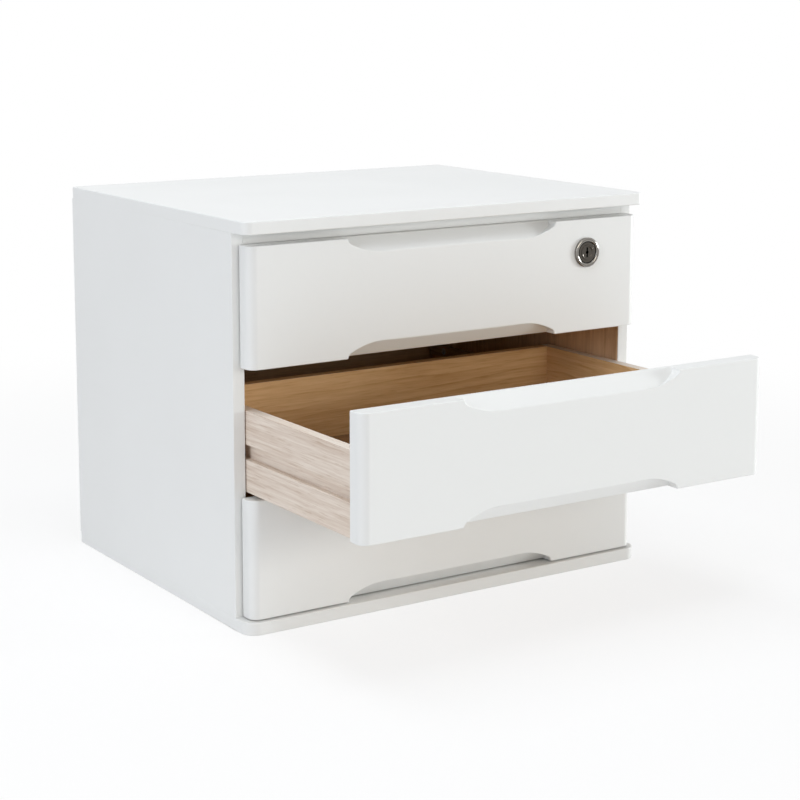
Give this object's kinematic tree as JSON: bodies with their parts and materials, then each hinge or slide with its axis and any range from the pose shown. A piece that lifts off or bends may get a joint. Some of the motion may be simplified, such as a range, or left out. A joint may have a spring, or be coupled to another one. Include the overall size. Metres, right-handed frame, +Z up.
{
  "type": "desktop drawer cabinet",
  "caption": "White desktop cabinet with three lay-on drawers, scooped finger grips along their edges, a cam lock in the top drawer, and the middle drawer standing open.",
  "frame": {"origin": "on the floor, in the middle of the closed cabinet's width and depth", "axes": "+Z up, -Y out of the drawer faces, +X to the right of someone who faces them"},
  "size_m": [0.4, 0.475, 0.33],
  "materials": {
    "white_paint": "satin white paint over wood",
    "bare_wood": "bare sanded light wood, straight grain",
    "plywood": "bare thin plywood",
    "runner_wood": "bare hardwood strip",
    "dowel_wood": "fluted beech dowel",
    "dark_chrome": "polished dark nickel",
    "zinc_steel": "zinc-plated steel"
  },
  "bodies": {
    "cabinet": {"top_board": "white_paint", "bottom_board": "white_paint", "left_side_panel": "white_paint", "right_side_panel": "white_paint", "back_panel": "white_paint", "front_rail": "white_paint", "carcass_dowels": "dowel_wood", "base_screws": "zinc_steel", "rail_screws": "zinc_steel", "back_panel_nails": "zinc_steel", "top_left_runner": "runner_wood", "top_right_runner": "runner_wood", "middle_left_runner": "runner_wood", "middle_right_runner": "runner_wood", "bottom_left_runner": "runner_wood", "bottom_right_runner": "runner_wood", "runner_screws": "zinc_steel"},
    "top_drawer": {"top_drawer_front": "white_paint", "top_drawer_left_side": "bare_wood", "top_drawer_right_side": "bare_wood", "top_drawer_back": "bare_wood", "top_drawer_bottom": "plywood", "top_drawer_dowels": "dowel_wood", "top_drawer_screws": "zinc_steel", "lock_housing": "dark_chrome", "lock_nut": "zinc_steel"},
    "middle_drawer": {"middle_drawer_front": "white_paint", "middle_drawer_left_side": "bare_wood", "middle_drawer_right_side": "bare_wood", "middle_drawer_back": "bare_wood", "middle_drawer_bottom": "plywood", "middle_drawer_dowels": "dowel_wood", "middle_drawer_screws": "zinc_steel"},
    "bottom_drawer": {"bottom_drawer_front": "white_paint", "bottom_drawer_left_side": "bare_wood", "bottom_drawer_right_side": "bare_wood", "bottom_drawer_back": "bare_wood", "bottom_drawer_bottom": "plywood", "bottom_drawer_dowels": "dowel_wood", "bottom_drawer_screws": "zinc_steel"},
    "lock_cylinder": {"lock_plug": "dark_chrome", "lock_cam": "zinc_steel", "cam_bolt": "zinc_steel"}
  },
  "joints": [
    {"name": "top_drawer_slide", "type": "slide", "parent": "cabinet", "child": "top_drawer", "axis": [0, -1, 0], "range_m": [0, 0.2]},
    {"name": "middle_drawer_slide", "type": "slide", "parent": "cabinet", "child": "middle_drawer", "axis": [0, -1, 0], "range_m": [-0.1605, 0.0395]},
    {"name": "bottom_drawer_slide", "type": "slide", "parent": "cabinet", "child": "bottom_drawer", "axis": [0, -1, 0], "range_m": [0, 0.2]},
    {"name": "lock_turn", "type": "hinge", "parent": "top_drawer", "child": "lock_cylinder", "pos_m": [0.1375, -0.1555, 0.2816], "axis": [0, -1, 0], "range_deg": [0, 90]}
  ]
}
